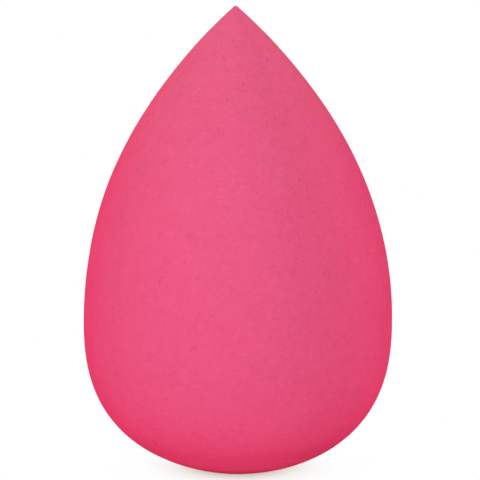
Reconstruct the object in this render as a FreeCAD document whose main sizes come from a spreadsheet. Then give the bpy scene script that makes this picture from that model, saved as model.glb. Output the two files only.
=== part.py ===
"""Teardrop makeup sponge: one block of soft foam, round about its axis, with a small flat to stand on.

The origin is the centre of the rest face, and +Z runs up the axis to the tip.
"""
import FreeCAD, Part
import math
import os
import Sketcher
from FreeCAD import Vector

NODE = "foam_body"

# Driving dimensions in millimetres.
SIZES = {
    "sponge_height": 60.0,    # rest face to the top of the tip
    "widest_diameter": 39.4,  # across the widest ring of the bowl
    "widest_height": 19.1,    # rest face to the widest ring
    "tip_radius": 0.5,        # rounding of the soft point
    "rest_cut_depth": 0.5,    # how deep the rest face cuts into the round crown underneath
}

# Where the outline's control points lie, as shares of the sizes that they follow.
SHARES = {
    "crown_reach_share": 0.31,       # of the widest radius: how broad the crown underneath is
    "heel_spread_share": 0.92,       # of the widest radius: how full the heel is
    "heel_rise_share": 0.12,         # of the widest height: how high the heel lies
    "belly_reach_share": 0.33,       # of the height above the widest ring: how long the side stays upright
    "shoulder_spread_share": 0.744,  # of the widest radius: with the drop, sets the slope at the tip
    "shoulder_drop_share": 0.338,    # of the height above the widest ring, down from the top
}

# The outline's dimensions, worked out from the spreadsheet. The bowl is a curve of degree 4 and the flank
# one of degree 3. The side's reach makes both bend alike at the widest ring, so no edge shows there.
RADIUS = "sizes.widest_diameter / 2"
RISE = "(sizes.sponge_height - sizes.widest_height)"
BOWL_BEND = "3 / 4 * (1 - sizes.heel_spread_share)"
FLANK_BEND = "2 / 3 * (1 - sizes.shoulder_spread_share)"
OUTLINE = {
    "top_level": "sizes.sponge_height",
    "tip_rounding": "sizes.tip_radius",
    "shoulder_spread": f"{RADIUS} * sizes.shoulder_spread_share",
    "shoulder_drop": f"{RISE} * sizes.shoulder_drop_share",
    "belly_reach": f"{RISE} * sizes.belly_reach_share",
    "widest_radius": RADIUS,
    "widest_level": "sizes.widest_height",
    "side_reach": f"{RISE} * sizes.belly_reach_share * sqrt(({BOWL_BEND}) / ({FLANK_BEND}))",
    "heel_spread": f"{RADIUS} * sizes.heel_spread_share",
    "heel_rise": "sizes.widest_height * sizes.heel_rise_share",
    "crown_reach": f"{RADIUS} * sizes.crown_reach_share",
    "crown_depth": "sizes.rest_cut_depth",
}

# How a sketch numbers its origin and the points of a curve.
ORIGIN = (-1, 1)
START, END, CENTRE = range(1, 4)


def fill_sheet(doc):
    """The spreadsheet, with one aliased cell for each dimension and share."""
    sheet = doc.addObject("Spreadsheet::Sheet", "sizes")
    for row, (name, value) in enumerate({**SIZES, **SHARES}.items(), start=1):
        sheet.set(f"A{row}", name)
        sheet.set(f"B{row}", str(value))
        sheet.setAlias(f"B{row}", name)
    doc.recompute()


def new_sketch(body, name, role):
    """An empty sketch on one of the body's own origin planes."""
    sketch = body.newObject("Sketcher::SketchObject", name)
    plane = next(feature for feature in body.Origin.OriginFeatures if feature.Role == role)
    sketch.AttachmentSupport = [(plane, "")]
    sketch.MapMode = "FlatFace"
    return sketch


def add_spline(sketch, poles):
    """One Bezier stretch in the sketch: its index, and those of its control points."""
    degree = len(poles) - 1
    curve = Part.BSplineCurve(poles, [degree + 1, degree + 1], [0.0, 1.0], False, degree)
    spline = sketch.addGeometry(curve, False)
    first_pole = sketch.GeometryCount
    sketch.exposeInternalGeometry(spline)
    return spline, range(first_pole, first_pole + len(poles))


def measure(sketch, name, expression, kind, *ends):
    """A named dimension in the sketch, bound to the spreadsheet."""
    value = float(sketch.evalExpression(expression))
    index = sketch.addConstraint(Sketcher.Constraint(kind, *ends, value))
    sketch.renameConstraint(index, name)
    sketch.setExpression(f"Constraints.{name}", expression)


def draw_outline(body):
    """Half the outline: crown, bowl, flank and rounded tip, closed along the axis."""
    sketch = new_sketch(body, "outline", "XZ_Plane")
    value = {name: float(sketch.evalExpression(words)) for name, words in OUTLINE.items()}

    # The drawing, which the constraints below then hold.
    crown = Vector(0, -value["crown_depth"])
    crown_pole = crown + Vector(value["crown_reach"], 0)
    heel_pole = Vector(value["heel_spread"], value["heel_rise"])
    widest = Vector(value["widest_radius"], value["widest_level"])
    side_pole = widest - Vector(0, value["side_reach"])
    belly_pole = widest + Vector(0, value["belly_reach"])
    top = Vector(0, value["top_level"])
    shoulder_pole = Vector(value["shoulder_spread"], value["top_level"] - value["shoulder_drop"])
    tip_centre = top - Vector(0, value["tip_rounding"])
    tip_normal_angle = math.atan2(value["shoulder_spread"], value["shoulder_drop"])
    tip_circle = Part.Circle(tip_centre, Vector(0, 0, 1), value["tip_rounding"])
    tip_arc = Part.ArcOfCircle(tip_circle, tip_normal_angle, math.pi / 2)
    tip_edge = tip_arc.StartPoint

    bowl, bowl_poles = add_spline(sketch, [crown, crown_pole, heel_pole, side_pole, widest])
    flank, flank_poles = add_spline(sketch, [widest, belly_pole, shoulder_pole, tip_edge])
    tip = sketch.addGeometry(tip_arc, False)
    middle = sketch.addGeometry(Part.LineSegment(top, crown), False)
    slope = sketch.addGeometry(Part.LineSegment(tip_edge, shoulder_pole), True)
    _, crown_ring, heel_ring, side_ring, _ = bowl_poles
    _, belly_ring, shoulder_ring, _ = flank_poles
    sketch.addConstraint([
        Sketcher.Constraint("Coincident", bowl, END, flank, START),
        Sketcher.Constraint("Coincident", flank, END, tip, START),
        Sketcher.Constraint("Coincident", tip, END, middle, START),
        Sketcher.Constraint("Coincident", middle, END, bowl, START),
        Sketcher.Constraint("Vertical", *ORIGIN, middle, START),
        Sketcher.Constraint("Vertical", *ORIGIN, middle, END),
        Sketcher.Constraint("Vertical", *ORIGIN, tip, CENTRE),
        Sketcher.Constraint("Horizontal", bowl, START, crown_ring, CENTRE),
        Sketcher.Constraint("Vertical", side_ring, CENTRE, bowl, END),
        Sketcher.Constraint("Vertical", bowl, END, belly_ring, CENTRE),
        Sketcher.Constraint("Tangent", tip, START, slope, START),
        Sketcher.Constraint("Coincident", slope, END, shoulder_ring, CENTRE),
    ])

    ends = {
        "top_level": ("DistanceY", *ORIGIN, middle, START),
        "tip_rounding": ("Radius", tip),
        "shoulder_spread": ("DistanceX", *ORIGIN, shoulder_ring, CENTRE),
        "shoulder_drop": ("DistanceY", shoulder_ring, CENTRE, middle, START),
        "belly_reach": ("DistanceY", bowl, END, belly_ring, CENTRE),
        "widest_radius": ("DistanceX", *ORIGIN, bowl, END),
        "widest_level": ("DistanceY", *ORIGIN, bowl, END),
        "side_reach": ("DistanceY", side_ring, CENTRE, bowl, END),
        "heel_spread": ("DistanceX", *ORIGIN, heel_ring, CENTRE),
        "heel_rise": ("DistanceY", *ORIGIN, heel_ring, CENTRE),
        "crown_reach": ("DistanceX", bowl, START, crown_ring, CENTRE),
        "crown_depth": ("DistanceY", bowl, START, *ORIGIN),
    }
    for name, words in OUTLINE.items():
        measure(sketch, name, words, *ends[name])
    return sketch


def draw_rest_ring(body):
    """A ring as wide as the sponge, which bounds the cut that makes the rest face."""
    sketch = new_sketch(body, "rest_ring", "XY_Plane")
    radius = float(sketch.evalExpression(RADIUS))
    ring = sketch.addGeometry(Part.Circle(Vector(0, 0), Vector(0, 0, 1), radius), False)
    sketch.addConstraint(Sketcher.Constraint("Coincident", ring, CENTRE, *ORIGIN))
    measure(sketch, "ring_radius", RADIUS, "Radius", ring)
    return sketch


def build_foam_body(doc):
    """The block of foam: the outline turned about the axis, then its crown cut flat at the origin."""
    body = doc.addObject("PartDesign::Body", NODE)
    body.Label = NODE
    outline = draw_outline(body)
    foam = body.newObject("PartDesign::Revolution", "foam")
    foam.Profile = outline
    foam.ReferenceAxis = (outline, ["V_Axis"])
    foam.Angle = 360.0
    doc.recompute()
    rest_cut = body.newObject("PartDesign::Pocket", "rest_cut")
    rest_cut.Profile = draw_rest_ring(body)
    rest_cut.Type = "ThroughAll"
    rest_cut.Reversed = False
    body.Tip = rest_cut
    body.Placement = FreeCAD.Placement()
    doc.recompute()
    if rest_cut.Shape.Volume >= foam.Shape.Volume:
        raise RuntimeError("the rest cut takes nothing off the crown")
    if outline.DoF != 0:
        raise RuntimeError("the outline is not fully held by its dimensions")
    return body


def check_document(doc, body):
    """Stops unless every object was worked out and the body is one valid solid."""
    for item in doc.Objects:
        if "Invalid" in item.State or "Error" in item.State:
            raise RuntimeError(f"{item.Name} failed: {item.State}")
    shape = body.Shape
    if shape.isNull() or not shape.isValid() or len(shape.Solids) != 1:
        raise RuntimeError(f"{body.Label} is not one valid solid")


def main():
    doc = FreeCAD.newDocument("makeup_sponge")
    fill_sheet(doc)
    body = build_foam_body(doc)
    check_document(doc, body)
    os.makedirs("parts", exist_ok=True)
    body.Shape.exportStep(f"parts/{body.Label}.step")
    box = body.Shape.BoundBox
    print(f"{body.Label}: {box.XLength:.2f} x {box.YLength:.2f} x {box.ZLength:.2f} mm")
    print(f"volume {body.Shape.Volume:.1f} mm3, centre of mass at {body.Shape.CenterOfGravity.z:.2f} mm")


main()
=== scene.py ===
"""The looks of a teardrop makeup sponge: soft pink open-cell foam, standing on a white table.

Lengths are in metres, in the frame of the solid model: +Z runs up the sponge's axis from the middle of
its rest face, and the photograph looks along +Y.
"""
import math

import bmesh
import bpy
import numpy as np
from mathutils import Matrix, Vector, noise


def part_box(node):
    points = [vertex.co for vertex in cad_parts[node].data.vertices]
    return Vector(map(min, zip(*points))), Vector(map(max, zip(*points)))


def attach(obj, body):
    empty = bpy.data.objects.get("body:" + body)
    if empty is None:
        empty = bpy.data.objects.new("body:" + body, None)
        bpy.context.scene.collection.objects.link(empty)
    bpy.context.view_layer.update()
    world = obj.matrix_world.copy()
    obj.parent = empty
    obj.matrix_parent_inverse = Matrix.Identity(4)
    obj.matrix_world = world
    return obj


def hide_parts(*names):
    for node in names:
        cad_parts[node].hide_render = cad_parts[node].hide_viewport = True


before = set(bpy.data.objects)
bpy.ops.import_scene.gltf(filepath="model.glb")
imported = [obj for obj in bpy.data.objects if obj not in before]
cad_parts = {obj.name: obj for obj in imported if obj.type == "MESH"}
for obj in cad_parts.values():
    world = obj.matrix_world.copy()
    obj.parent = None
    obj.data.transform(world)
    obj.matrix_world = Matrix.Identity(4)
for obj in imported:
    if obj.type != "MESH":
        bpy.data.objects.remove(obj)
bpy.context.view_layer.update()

MM = 0.001

# The sponge's main sizes come from the solid, and its outline's shares are those of the solid's sketch.
LOWEST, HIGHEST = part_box("foam_body")
HEIGHT = HIGHEST.z - LOWEST.z
RADIUS = (HIGHEST.x - LOWEST.x) / 2
WIDEST_LEVEL = 19.1 * MM
TIP_RADIUS = 0.35 * MM        # a little sharper than the solid's
CROWN_DEPTH = 0.5 * MM
CROWN_REACH_SHARE = 0.31
HEEL_SPREAD_SHARE = 0.92
HEEL_RISE_SHARE = 0.12
BELLY_REACH_SHARE = 0.33
SHOULDER_SPREAD_SHARE = 0.744
SHOULDER_DROP_SHARE = 0.338

# How finely the outline and the mesh are drawn.
CURVE_STEPS = 1200
TIP_STEPS = 60
REST_STEPS = 300
FACE_CUTS = 128               # quads along each edge of the six patches
TIP_CROWDING = 10             # how much denser the quads lie at the tip
TIP_ZONE = 2.5 * MM           # how far down that reaches
PATCHES_ACROSS = 3            # the map for baking holds the six patches in a grid
PATCHES_UP = 2
BAKE_MARGIN = 0.01            # round each patch, as a share of its side

# How the surface departs from a true turned shape.
TIP_LEAN = 0.275 * MM         # the tip leans this far towards -X
LEAN_FROM = 28 * MM           # height at which the lean begins
LEAN_POWER = 0.9
TIP_FULLNESS = 0.045 * MM     # how far the flanks swell just below the tip
TIP_FULL_DROP = 4.3 * MM      # where that is, down from the tip
TIP_FULL_SPREAD = 3 * MM
SKIN_RISE = 0.02 * MM         # the cells of the skin stand proud of the solid
UNEVEN_SIZE = 15 * MM         # broad unevenness left by buffing
UNEVEN_HEIGHT = 0.06 * MM
DIMPLE_SIZE = 2.6 * MM        # soft dimpling of the foam's skin
DIMPLE_HEIGHT = 0.012 * MM
CLUMP_SIZE = 0.7 * MM         # clumps of foam cells
CLUMP_HEIGHT = 0.008 * MM
PORE_SIZE = 0.35 * MM         # open pores between the cells
PORE_DEPTH = 0.06 * MM
PORE_EDGE = 0.35              # noise above this level is an open pore
RELIEF_FADE = 1 * MM          # the relief fades out over this height, towards the rest face

# The foam's colour at the foot, a little above it and at the tip, with painted light in it: the foot is
# brighter and the upper part paler towards the tip. The photograph's underside is brighter than the lamps
# and the table make it here, so the foot has a brighter colour, which is painted light.
FOAM_FOOT_PAINTED_LIGHT = (0.94, 0.168, 0.352)
FOOT_LEVEL = 1.5 * MM
FOAM_LOW = (0.718, 0.1005, 0.236)
LOW_LEVEL = 3.8 * MM
FOAM_HIGH_WITH_PAINTED_LIGHT = (0.76, 0.128, 0.255)

# What the mottling, the pores, the light flecks and the rim of the upper part multiply that colour by:
# the pores with painted shade, the flecks with pale marks that are partly painted highlights, and the rim
# with painted light where it is seen edge-on.
MOTTLE_DARK = (0.95, 0.84, 0.87)
MOTTLE_LIGHT = (1.05, 1.16, 1.13)
PORE_SHADE = (0.935, 0.79, 0.83)
FLECK_GLEAM = (1.07, 1.3, 1.22)
RIM_PAINTED_LIGHT = (0.86, 2.0, 1.4)
NO_CHANGE = (1, 1, 1)

# The marks in the foam's shading. Each foam cell draws lots from 0 to 1, which say whether it is a pore
# or a light fleck.
CELL_SIZE = 0.34 * MM
MARK_EDGE = 0.55              # a mark fades in from here, in cell sizes from the middle of its cell
MARK_CORE = 0.1               # and is full from here inwards
PORE_LOTS = (0.2, 0.5)        # the lots of a cell with a bare trace of a pore, and with a full one
FLECK_LOTS = (0.8, 1.0)
MOTTLE_SIZE = 1.1 * MM
MOTTLE_DETAIL = 5
MOTTLE_ROUGHNESS = 0.65
RIDGE_SIZE = 0.42 * MM        # ridges and pits left by buffing
RIDGE_SQUEEZE = (1.0, 1.0, 1.6)  # flattens them, so that they run round the sponge
RIDGE_DETAIL = 2
RIDGE_HEIGHT = 0.14 * MM
RIDGE_STRENGTH = 1.0
PATCH_SIZE = 4 * MM           # patches in which the ridges stand higher
PATCH_DETAIL = 1
PATCH_RANGE = (0.42, 0.62)
BETWEEN_PATCHES = 0.5         # the share of their height that the ridges have elsewhere
PORE_BUMP_HEIGHT = 0.05 * MM
PORE_BUMP_STRENGTH = 0.6
SKIN_ROUGHNESS = 0.9          # between the pores, which are fully rough
PLAIN_FACING = 0.5            # at this blend, facing is 1 less the cosine of the slope
RIM_POWER = 1.5               # how closely the painted light keeps to the rim
PAINTED_RIM_FROM_SHARE = 0.62       # of the height: the painted light on the rim begins here
SHEEN_WEIGHT = 0.7
SHEEN_ROUGHNESS = 0.8
SHEEN_TINT = (1.0, 0.006, 0.095)

# The table: the colour of the light that it throws back, and the warm shade that the eye sees under the
# sponge.
TABLE_HALF_SIDE = 2.0
TABLE_BOUNCE = (0.97, 0.80, 0.82)
TABLE_SHADE = (0.56, 0.39, 0.34)
SHADE_FALL = 12.0             # how fast the shade fades as a point of the table opens up
SHADE_REACH = 0.5
SHADE_SAMPLES = 16
WHITE = (1, 1, 1)

# The light. Each lamp has its azimuth from the camera's side and its elevation, in degrees, the length of
# its side, and the light that it gives to a white card facing it.
ROOM_LIGHT = 0.42
LAMP_DISTANCE = 0.8
LAMPS = {
    "key_lamp": (-14, 12, 0.3, 0.47),
    "side_lamp": (-80, 50, 0.4, 0.08),
    "top_lamp": (0, 85, 0.6, 0.165),
    "back_lamp": (123, 10, 0.3, 0.41),
    "rear_lamp": (-162, 22, 0.4, 0.26),
}

# The photograph's frame: its side in pixels, the size of a pixel at the sponge, the pixel column of the
# sponge's axis, and the height that lies in the middle of the picture.
PHOTO_SIDE = 480
PIXEL = 0.1277 * MM
AXIS_PIXEL = 237.88
AIM_LEVEL = 29.585 * MM
CAMERA_RISE = math.radians(11.9)
CAMERA_DISTANCE = 1.6
SENSOR = 36.0                 # in millimetres, as the lens is


def bezier(points):
    """Points along the Bezier curve that has these control points."""
    share = np.linspace(0, 1, CURVE_STEPS)[:, None]
    level = [np.array(point, float) for point in points]
    while len(level) > 1:
        level = [a * (1 - share) + b * share for a, b in zip(level, level[1:])]
    return level[0]


def half_outline():
    """Radius and height of the outline from the middle of the rest face to the top of the tip."""
    rise = HEIGHT - WIDEST_LEVEL
    belly_reach = rise * BELLY_REACH_SHARE
    # The bowl is a curve of degree 4 and the flank one of degree 3. The side's reach makes both bend alike
    # at the widest ring.
    bowl_bend = 3 / 4 * (1 - HEEL_SPREAD_SHARE)
    flank_bend = 2 / 3 * (1 - SHOULDER_SPREAD_SHARE)
    side_reach = belly_reach * math.sqrt(bowl_bend / flank_bend)
    shoulder = np.array([RADIUS * SHOULDER_SPREAD_SHARE, HEIGHT - rise * SHOULDER_DROP_SHARE])
    tip_centre = np.array([0, HEIGHT - TIP_RADIUS])
    away = shoulder - tip_centre
    turn = math.atan2(away[1], away[0]) + math.acos(TIP_RADIUS / np.hypot(*away))
    angles = np.linspace(turn, math.pi / 2, TIP_STEPS)
    tip = tip_centre + TIP_RADIUS * np.stack([np.cos(angles), np.sin(angles)], axis=1)
    bowl = bezier([
        (0, -CROWN_DEPTH),
        (RADIUS * CROWN_REACH_SHARE, -CROWN_DEPTH),
        (RADIUS * HEEL_SPREAD_SHARE, WIDEST_LEVEL * HEEL_RISE_SHARE),
        (RADIUS, WIDEST_LEVEL - side_reach),
        (RADIUS, WIDEST_LEVEL),
    ])
    flank = bezier([
        (RADIUS, WIDEST_LEVEL),
        (RADIUS, WIDEST_LEVEL + belly_reach),
        shoulder,
        tip[0],
    ])
    rest_radius = np.interp(0, bowl[:, 1], bowl[:, 0])
    rest = np.stack([np.linspace(0, rest_radius, REST_STEPS), np.zeros(REST_STEPS)], axis=1)
    return np.concatenate([rest, bowl[bowl[:, 1] > 0], flank[1:], tip[1:]])


def gridded_cube():
    """A mesh of six square patches of quads, from -1 to 1 on each axis."""
    mesh = bpy.data.meshes.new("foam_sponge")
    shape = bmesh.new()
    bmesh.ops.create_cube(shape, size=2)
    bmesh.ops.subdivide_edges(shape, edges=shape.edges, cuts=FACE_CUTS - 1, use_grid_fill=True)
    shape.to_mesh(mesh)
    shape.free()
    return mesh


def read_points(mesh):
    points = np.empty(len(mesh.vertices) * 3)
    mesh.vertices.foreach_get("co", points)
    return points.reshape(-1, 3)


def write_points(mesh, points):
    mesh.vertices.foreach_set("co", points.ravel())
    mesh.update()


def write_bake_map(mesh, cube_points):
    """Lays the six patches side by side in one map, with a margin round each."""
    layer = mesh.uv_layers.new(name="OFBake")
    corners = np.empty(len(mesh.loops), int)
    mesh.loops.foreach_get("vertex_index", corners)
    points = cube_points[corners.reshape(-1, 4)]
    centres = points.mean(axis=1)
    axis = np.abs(centres).argmax(axis=1)
    sign = np.take_along_axis(centres, axis[:, None], 1)[:, 0] > 0
    patch = axis * 2 + sign
    # The two axes that run across and up a patch, by the axis that it faces.
    across = np.take(np.array([1, 0, 0]), axis)
    up = np.take(np.array([2, 2, 1]), axis)
    u = np.take_along_axis(points, across[:, None, None], 2)[:, :, 0]
    v = np.take_along_axis(points, up[:, None, None], 2)[:, :, 0]
    u = (u * np.where(sign ^ (axis == 1), 1, -1)[:, None] + 1) / 2
    v = (v + 1) / 2
    inner = 1 - 2 * BAKE_MARGIN
    u = ((patch % PATCHES_ACROSS)[:, None] + BAKE_MARGIN + u * inner) / PATCHES_ACROSS
    v = ((patch // PATCHES_ACROSS)[:, None] + BAKE_MARGIN + v * inner) / PATCHES_UP
    layer.data.foreach_set("uv", np.stack([u, v], axis=2).ravel())


def turned_points(directions):
    """Moves a sphere's points to the turned surface: even areas, but for a crowd of points at the tip."""
    outline = half_outline()
    steps = np.diff(outline, axis=0)
    rings = (outline[1:, 0] + outline[:-1, 0]) / 2 * np.hypot(steps[:, 0], steps[:, 1])
    rings *= 1 + TIP_CROWDING * np.exp((outline[1:, 1] - HEIGHT) / TIP_ZONE)
    area = np.concatenate([[0], np.cumsum(rings)])
    polar = np.arccos(np.clip(1 - 2 * area / area[-1], -1, 1))
    wanted = np.arccos(np.clip(-directions[:, 2], -1, 1))
    radius = np.interp(wanted, polar, outline[:, 0])
    level = np.interp(wanted, polar, outline[:, 1])
    around = np.arctan2(directions[:, 1], directions[:, 0])
    return np.stack([radius * np.cos(around), radius * np.sin(around), level], axis=1)


def noise_at(points, size):
    """Smooth noise from about -1 to 1 at each point, with features of the given size."""
    return np.array([noise.noise(Vector(point)) for point in points / size])


def add_relief(mesh, points):
    """Moves the turned surface by its unevenness, dimples, clumps and pores, and leans the tip."""
    write_points(mesh, points)
    normals = np.empty(len(points) * 3)
    mesh.vertex_normals.foreach_get("vector", normals)
    normals = normals.reshape(-1, 3)
    drop = HEIGHT - points[:, 2]
    relief = SKIN_RISE + TIP_FULLNESS * np.exp(-((drop - TIP_FULL_DROP) / TIP_FULL_SPREAD) ** 2)
    relief += UNEVEN_HEIGHT * noise_at(points, UNEVEN_SIZE)
    relief += DIMPLE_HEIGHT * noise_at(points, DIMPLE_SIZE)
    relief += CLUMP_HEIGHT * noise_at(points, CLUMP_SIZE)
    relief -= PORE_DEPTH * np.clip(noise_at(points, PORE_SIZE) - PORE_EDGE, 0, 1)
    relief *= np.clip(points[:, 2] / RELIEF_FADE, 0, 1)
    moved = points + normals * relief[:, None]
    lean = np.clip((points[:, 2] - LEAN_FROM) / (HEIGHT - LEAN_FROM), 0, 1) ** LEAN_POWER
    moved[:, 0] -= TIP_LEAN * lean
    moved[:, 2] = np.maximum(moved[:, 2], 0)
    write_points(mesh, moved)


def make_sponge(material):
    mesh = gridded_cube()
    cube_points = read_points(mesh)
    write_bake_map(mesh, cube_points)
    # The tangent spreads the grid lines, so that the quads have nearly even sizes on the sphere.
    directions = np.tan(cube_points * math.pi / 4)
    directions /= np.linalg.norm(directions, axis=1)[:, None]
    add_relief(mesh, turned_points(directions))
    mesh.shade_smooth()
    mesh.materials.append(material)
    sponge = bpy.data.objects.new("foam_sponge", mesh)
    bpy.context.scene.collection.objects.link(sponge)
    return sponge


def empty_tree(owner):
    """The node tree of a material or a world, with nothing in it."""
    owner.use_nodes = True
    owner.node_tree.nodes.clear()
    return owner.node_tree


def add_node(tree, kind, inputs, **settings):
    """A new node with these settings, whose inputs are linked to sockets or set to plain values."""
    node = tree.nodes.new("ShaderNode" + kind)
    for name, value in settings.items():
        setattr(node, name, value)
    for name, value in inputs.items():
        if isinstance(value, bpy.types.NodeSocket):
            tree.links.new(value, node.inputs[name])
        else:
            node.inputs[name].default_value = value
    return node


def opaque(colour):
    return (*colour, 1)


def calculate(tree, operation, first, second=0.0):
    return add_node(tree, "Math", {0: first, 1: second}, operation=operation).outputs["Value"]


def map_range(tree, value, start, end, lowest=0.0, interpolation="LINEAR"):
    """Maps the value from lowest at the start to 1 at the end, and keeps it there beyond."""
    inputs = {"Value": value, "From Min": start, "From Max": end, "To Min": lowest}
    return add_node(tree, "MapRange", inputs, interpolation_type=interpolation).outputs["Result"]


def mix_colours(tree, factor, first, second):
    inputs = {"Factor": factor, "A": opaque(first), "B": opaque(second)}
    return add_node(tree, "Mix", inputs, data_type="RGBA").outputs["Result"]


def multiply_colours(tree, first, second):
    inputs = {"Factor": 1.0, "A": first, "B": second}
    return add_node(tree, "Mix", inputs, data_type="RGBA", blend_type="MULTIPLY").outputs["Result"]


def cell_marks(tree, hollow, lot, lots):
    """A factor of up to 1 in the middles of the foam cells whose lot is high enough, and 0 elsewhere."""
    return calculate(tree, "MULTIPLY", hollow, map_range(tree, lot, *lots))


def colour_with_painted_light(tree, height_share):
    """The foam's colour from the foot to the tip, with painted light that brightens the foot and pales the
    upper part.
    """
    grade = add_node(tree, "ValToRGB", {"Fac": height_share})
    foot, tip = grade.color_ramp.elements
    foot.position = FOOT_LEVEL / HEIGHT
    foot.color = opaque(FOAM_FOOT_PAINTED_LIGHT)
    tip.color = opaque(FOAM_HIGH_WITH_PAINTED_LIGHT)
    grade.color_ramp.elements.new(LOW_LEVEL / HEIGHT).color = opaque(FOAM_LOW)
    return grade.outputs["Color"]


def painted_rim_light(tree, height_share):
    """Painted light on the rim of the upper part, which looks paler in the photograph: how far a point
    lies on that rim.
    """
    facing = add_node(tree, "LayerWeight", {"Blend": PLAIN_FACING}).outputs["Facing"]
    rim = calculate(tree, "POWER", facing, RIM_POWER)
    return calculate(tree, "MULTIPLY", rim, map_range(tree, height_share, PAINTED_RIM_FROM_SHARE, 1))


def buffed_normal(tree, place):
    """The normal of a skin with small ridges and pits from buffing, which are higher in patches."""
    squeezed = add_node(tree, "VectorMath", {0: place, 1: RIDGE_SQUEEZE}, operation="MULTIPLY")
    ridges = add_node(tree, "TexNoise", {
        "Vector": squeezed.outputs["Vector"],
        "Scale": 1 / RIDGE_SIZE,
        "Detail": RIDGE_DETAIL,
    })
    patches = add_node(tree, "TexNoise", {
        "Vector": place,
        "Scale": 1 / PATCH_SIZE,
        "Detail": PATCH_DETAIL,
    })
    standing = map_range(tree, patches.outputs["Fac"], *PATCH_RANGE, lowest=BETWEEN_PATCHES)
    bump = add_node(tree, "Bump", {
        "Strength": RIDGE_STRENGTH,
        "Distance": RIDGE_HEIGHT,
        "Height": calculate(tree, "MULTIPLY", ridges.outputs["Fac"], standing),
    })
    return bump.outputs["Normal"]


def foam_material():
    """Matte pink foam under a soft red sheen: fine pores with painted shade, pale flecks that are partly
    painted highlights, faint mottling, and painted light on the foot, the upper part and its rim.
    """
    material = bpy.data.materials.new("pink_foam")
    tree = empty_tree(material)
    place = add_node(tree, "TexCoord", {}).outputs["Object"]
    level = add_node(tree, "SeparateXYZ", {"Vector": place}).outputs["Z"]
    height_share = map_range(tree, level, 0.0, HEIGHT)

    mottle = add_node(tree, "TexNoise", {
        "Vector": place,
        "Scale": 1 / MOTTLE_SIZE,
        "Detail": MOTTLE_DETAIL,
        "Roughness": MOTTLE_ROUGHNESS,
    }).outputs["Fac"]
    cells = add_node(tree, "TexVoronoi", {"Vector": place, "Scale": 1 / CELL_SIZE})
    hollow = map_range(tree, cells.outputs["Distance"], MARK_EDGE, MARK_CORE, interpolation="SMOOTHSTEP")
    lots = add_node(tree, "SeparateColor", {"Color": cells.outputs["Color"]}).outputs
    # Pores gather in the darker patches of the mottling.
    pore_lot = calculate(tree, "SUBTRACT", lots["Red"], mottle)
    pore = cell_marks(tree, hollow, pore_lot, PORE_LOTS)
    fleck = cell_marks(tree, hollow, lots["Green"], FLECK_LOTS)

    # This colour carries painted light: brighter at the foot and paler towards the tip.
    colour = colour_with_painted_light(tree, height_share)
    for factor, first, second in (
        (mottle, MOTTLE_DARK, MOTTLE_LIGHT),
        # painted shade in the pores
        (pore, NO_CHANGE, PORE_SHADE),
        # pale flecks, partly painted highlights
        (fleck, NO_CHANGE, FLECK_GLEAM),
        # painted light on the rim of the upper part, where it is seen edge-on
        (painted_rim_light(tree, height_share), NO_CHANGE, RIM_PAINTED_LIGHT),
    ):
        colour = multiply_colours(tree, colour, mix_colours(tree, factor, first, second))
    pitted = add_node(tree, "Bump", {
        "Strength": PORE_BUMP_STRENGTH,
        "Distance": PORE_BUMP_HEIGHT,
        "Height": pore,
        "Normal": buffed_normal(tree, place),
    }, invert=True)
    shader = add_node(tree, "BsdfPrincipled", {
        "Base Color": colour,
        "Roughness": map_range(tree, pore, 0.0, 1.0, lowest=SKIN_ROUGHNESS),
        "Normal": pitted.outputs["Normal"],
        "Specular IOR Level": 0.0,
        "Sheen Weight": SHEEN_WEIGHT,
        "Sheen Roughness": SHEEN_ROUGHNESS,
        "Sheen Tint": opaque(SHEEN_TINT),
    })
    add_node(tree, "OutputMaterial", {"Surface": shader.outputs["BSDF"]})
    return material


def seen_directly(tree):
    """1 where the eye, a mirror or glass looks at the surface, and 0 where it only gives light."""
    path = add_node(tree, "LightPath", {}).outputs
    seen = path["Is Camera Ray"]
    for name in ("Is Glossy Ray", "Is Transmission Ray"):
        seen = calculate(tree, "MAXIMUM", seen, path[name])
    return seen


def table_material():
    """White table: to the eye it is plain white, apart from the close shade under the sponge."""
    material = bpy.data.materials.new("white_table")
    tree = empty_tree(material)
    bounce = add_node(tree, "BsdfDiffuse", {"Color": opaque(TABLE_BOUNCE)})
    openness = add_node(tree, "AmbientOcclusion", {"Distance": SHADE_REACH}, samples=SHADE_SAMPLES)
    fall = calculate(tree, "MULTIPLY", openness.outputs["AO"], -SHADE_FALL)
    shade = calculate(tree, "EXPONENT", fall)
    shown = add_node(tree, "Emission", {"Color": mix_colours(tree, shade, WHITE, TABLE_SHADE)})
    final = add_node(tree, "MixShader", {
        "Fac": seen_directly(tree),
        1: bounce.outputs["BSDF"],
        2: shown.outputs["Emission"],
    })
    add_node(tree, "OutputMaterial", {"Surface": final.outputs["Shader"]})
    return material


def make_table():
    mesh = bpy.data.meshes.new("white_table")
    signs = ((-1, -1), (1, -1), (1, 1), (-1, 1))
    corners = [(x * TABLE_HALF_SIDE, y * TABLE_HALF_SIDE, 0) for x, y in signs]
    mesh.from_pydata(corners, [], [(0, 1, 2, 3)])
    mesh.materials.append(table_material())
    table = bpy.data.objects.new("white_table", mesh)
    bpy.context.scene.collection.objects.link(table)


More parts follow.
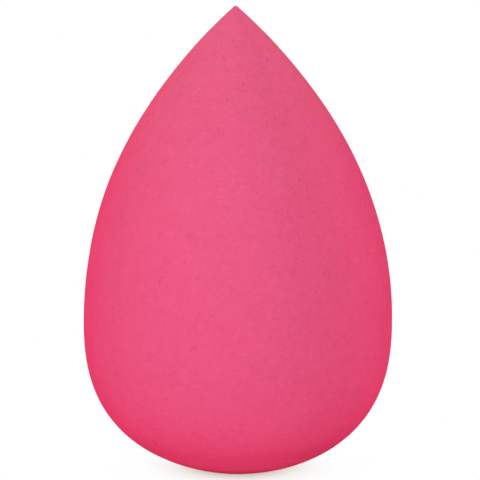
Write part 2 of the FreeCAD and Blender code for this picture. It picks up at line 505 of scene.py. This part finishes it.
def make_room():
    """Even white light from all round, plain white where the eye sees it."""
    world = bpy.data.worlds.new("white_room")
    bpy.context.scene.world = world
    tree = empty_tree(world)
    light = add_node(tree, "Background", {"Color": opaque(WHITE), "Strength": ROOM_LIGHT})
    shown = add_node(tree, "Background", {"Color": opaque(WHITE)})
    final = add_node(tree, "MixShader", {
        "Fac": seen_directly(tree),
        1: light.outputs["Background"],
        2: shown.outputs["Background"],
    })
    add_node(tree, "OutputWorld", {"Surface": final.outputs["Shader"]})


def make_lamp(name, azimuth, elevation, side, level):
    """A square soft lamp that points at the middle of the sponge."""
    turn = math.radians(azimuth)
    rise = math.radians(elevation)
    away = Vector((math.sin(turn) * math.cos(rise), -math.cos(turn) * math.cos(rise), math.sin(rise)))
    data = bpy.data.lights.new(name, "AREA")
    data.shape = "SQUARE"
    data.size = side
    data.energy = level * math.pi ** 2 * LAMP_DISTANCE ** 2
    lamp = bpy.data.objects.new(name, data)
    lamp.location = Vector((0, 0, HEIGHT / 2)) + away * LAMP_DISTANCE
    lamp.rotation_mode = "QUATERNION"
    lamp.rotation_quaternion = away.to_track_quat("Z", "Y")
    lamp.visible_camera = False
    bpy.context.scene.collection.objects.link(lamp)


def make_camera():
    """The camera that frames the sponge as the photograph does."""
    aim = Vector(((PHOTO_SIDE / 2 - AXIS_PIXEL) * PIXEL, 0, AIM_LEVEL))
    away = Vector((0, -math.cos(CAMERA_RISE), math.sin(CAMERA_RISE)))
    data = bpy.data.cameras.new("camera")
    data.sensor_width = SENSOR
    data.lens = SENSOR * CAMERA_DISTANCE / (PHOTO_SIDE * PIXEL)
    camera = bpy.data.objects.new("camera", data)
    camera.location = aim + away * CAMERA_DISTANCE
    camera.rotation_mode = "QUATERNION"
    camera.rotation_quaternion = away.to_track_quat("Z", "Y")
    bpy.context.scene.collection.objects.link(camera)
    bpy.context.scene.camera = camera


sponge = make_sponge(foam_material())
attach(sponge, "root")
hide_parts("foam_body")

make_table()
make_room()
for lamp_name, lamp_values in LAMPS.items():
    make_lamp(lamp_name, *lamp_values)
make_camera()
bpy.context.scene.view_settings.view_transform = "Standard"
